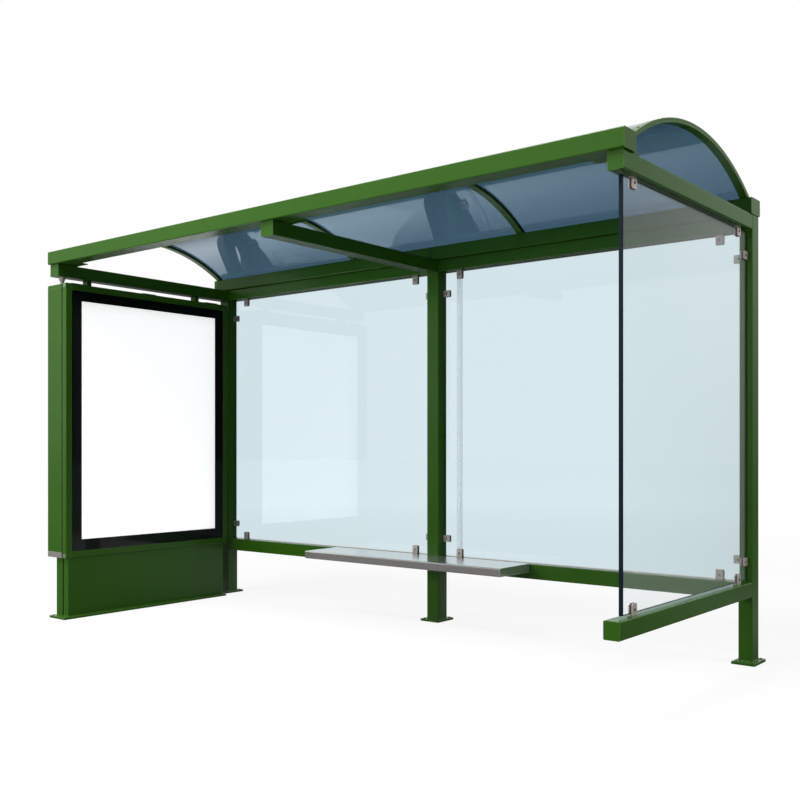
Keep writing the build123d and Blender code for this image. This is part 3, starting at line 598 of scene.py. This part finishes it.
def corner_keys(material):
    """Keys that close the corners of the door's profiles, on the door's two sides."""
    bm = bmesh.new()
    low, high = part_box("door_stiles")
    for y, out in ((low.y, -1), (high.y, 1)):
        for z, inward in ((low.z, 1), (high.z, -1)):
            face = y + out * KEY_PROUD
            near, far = z + inward * KEY_FROM_END, z + inward * KEY_LENGTH
            slab(bm, (low.x + 6 * MM, min(y, face), min(near, far)),
                 (high.x - 7 * MM, max(y, face), max(near, far)))
    bmesh.ops.bevel(bm, geom=bm.edges[:], offset=0.3 * MM, segments=1, affect="EDGES")
    piece("door_corner_keys", bm, material, "case_door")


def cover_screws(steel):
    """Domed screws along the capping strips of the roof."""
    bm = bmesh.new()
    covers = frame["nodes"]["roof_covers"].data
    tree = BVHTree.FromPolygons([v.co for v in covers.vertices],
                                [p.vertices for p in covers.polygons])
    low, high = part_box("roof_covers")
    above = high.z + 1.0
    for a, b in islands("roof_covers"):
        for i in range(COVER_SCREWS_EACH):
            y = low.y + (high.y - low.y) * (i + 0.5) / COVER_SCREWS_EACH
            start = Vector(((a.x + b.x) / 2.0, y, above))
            at, normal = tree.ray_cast(start, Vector((0, 0, -1)))[:2]
            button_screw(bm, at, normal, COVER_SCREW)
    piece("roof_cover_screws", bm, steel, "shelter")


def beam_joint(material):
    """Dressed site joint in the rear beam, over the middle post."""
    bm = bmesh.new()
    low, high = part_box("rear_beam")
    post_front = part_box("post_middle")[0].y
    slab(bm, (-JOINT_HALF, low.y - JOINT_PROUD, low.z + JOINT_INSET),
         (JOINT_HALF, low.y + MM, high.z - JOINT_INSET))
    slab(bm, (-JOINT_HALF, low.y + JOINT_INSET, low.z - JOINT_PROUD),
         (JOINT_HALF, post_front - MM, low.z + MM))
    piece("rear_beam_joint", bm, material, "shelter")


def joint_strip(clear, smoked):
    """Clear strip on the right rear pane, from its top clamp to its bottom clamp, with a
    slightly darker flange."""
    glass_low, glass_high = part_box("rear_pane_right")
    glass_middle = (glass_low.x + glass_high.x) / 2.0
    clamps = [(low, high) for low, high in islands("rear_clamps")
              if low.x > glass_low.x + 50 * MM and high.x < glass_middle]
    x0 = min(low.x for low, high in clamps)
    x1 = max(high.x for low, high in clamps)
    bottom = min(high.z for low, high in clamps) + STRIP_END_GAP
    top = max(low.z for low, high in clamps) - STRIP_END_GAP
    split = x0 * 0.42 + x1 * 0.58
    for name, a, b, material in (("pane_joint_strip", x0, split, clear),
                                 ("pane_joint_flange", split, x1, smoked)):
        bm = bmesh.new()
        slab(bm, (a, glass_low.y - STRIP_PROUD, bottom), (b, glass_low.y - STRIP_OFF_GLASS, top))
        piece(name, bm, material, "shelter")


def side_pane_edges(material):
    """Dark bands along the top and bottom edges of the side pane, and round its front edge."""
    bm = bmesh.new()
    low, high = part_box("side_pane")
    x0, x1 = low.x - DARK_BAND_PROUD, high.x + DARK_BAND_PROUD
    for z0, z1 in ((low.z - DARK_BAND_OVER, low.z + MM), (high.z - MM, high.z + DARK_BAND_OVER)):
        slab(bm, (x0, low.y + 2 * MM, z0), (x1, high.y - 2 * MM, z1))
    slab(bm, (x0, low.y - DARK_BAND_PROUD, low.z + DARK_BAND_OVER),
         (x1, low.y + DARK_BAND_FRONT, high.z - DARK_BAND_OVER))
    piece("side_pane_dark_bands", bm, material, "shelter")


# ---------------------------------------------------------------- finishing

def dress_cad():
    """Give each CAD node its finish."""
    glass_rear = clear_glass("rear_glass", "Y", (219, 236, 242), (28, 60, 42), 0.0, 1.5)
    glass_side = clear_glass("side_glass", "X", (252, 255, 255), (22, 42, 52), 0.06, 1.18)
    glass_door = clear_glass("door_glass", "X", (252, 253, 253), (150, 170, 170), 0.0, 1.45)
    steel = brushed_steel("satin_stainless", (228, 216, 209), (300.0, 300.0, 40.0), 0.25, 0.45,
                          0.55)
    finishes = {
        "green_paint": green_paint(),
        "stainless": brushed_steel("brushed_stainless", (226, 222, 218), (4.0, 700.0, 700.0),
                                   0.12, 0.26, 0.86, BENCH_EDGE_HIGHLIGHT),
        "tinted_sheet": tinted_sheet(),
        "black_rubber": plain("black_rubber", (22, 24, 24), 0.6),
        "black_border": plain("black_border", (56, 60, 59), 0.25, gloss=0.12),
        "poster_white": poster_paper(),
        "diffuser": plain("white_diffuser", (225, 225, 225), 0.4),
        "grey_aluminium": plain("anodised_grey", (168, 168, 165), 0.35, 0.5),
        "clear_glass": glass_rear,
    }
    special = {"side_pane": glass_side, "door_glass": glass_door, "rear_clamps": steel,
               "side_clamps": steel}
    slots = {row["node"]: row["material_slot"] for row in frame["record"]["subparts"]}
    for node, obj in frame["nodes"].items():
        material = special.get(node, finishes[slots[node]])
        if not obj.material_slots:
            obj.data.materials.append(material)
        for place in obj.material_slots:
            place.material = material


def add_details():
    """The small pieces that the CAD model leaves out."""
    steel = brushed_steel("screw_steel", (170, 168, 164), (60.0, 60.0, 60.0), 0.2, 0.35)
    rubber = plain("pad_rubber", (26, 26, 26), 0.6)
    green = bpy.data.materials["green_powder_coat"]
    anchor_caps(green)
    clamp_details("rear_clamps", 1, steel, rubber)
    clamp_details("side_clamps", 0, steel, rubber)
    welds(green)
    case_stud(bpy.data.materials["satin_stainless"])
    corner_keys(plain("key_aluminium", (150, 175, 140), 0.35, 0.6))
    cover_screws(steel)
    beam_joint(plain("joint_paint", (22, 42, 14), 0.5))
    joint_strip(clear_glass("strip_clear", "Y", (253, 254, 254), (170, 186, 190), 0.3, 1.3),
                clear_glass("strip_smoked", "Y", (232, 239, 243), (150, 168, 174), 0.1, 1.3))
    side_pane_edges(plain("pane_edge_dark", (12, 32, 42), 0.5, gloss=0.2))


def main():
    """Studio, finishes and small pieces."""
    bpy.context.scene.view_settings.view_transform = "Standard"
    make_camera()
    make_world()
    make_floor()
    area_light("key", (-1.0, -5.2, 9.5), (0.0, -0.8, 1.5), (5.0, 4.0), 980.0)
    area_light("fill", (9.0, 0.5, 6.0), (0.0, -0.5, 1.2), (3.0, 3.0), 330.0, in_gloss=False)
    area_light("front", (-2.5, -9.0, 3.0), (0.0, 0.0, 2.0), (4.0, 2.0), 340.0, in_gloss=False)
    dress_cad()
    add_details()


main()
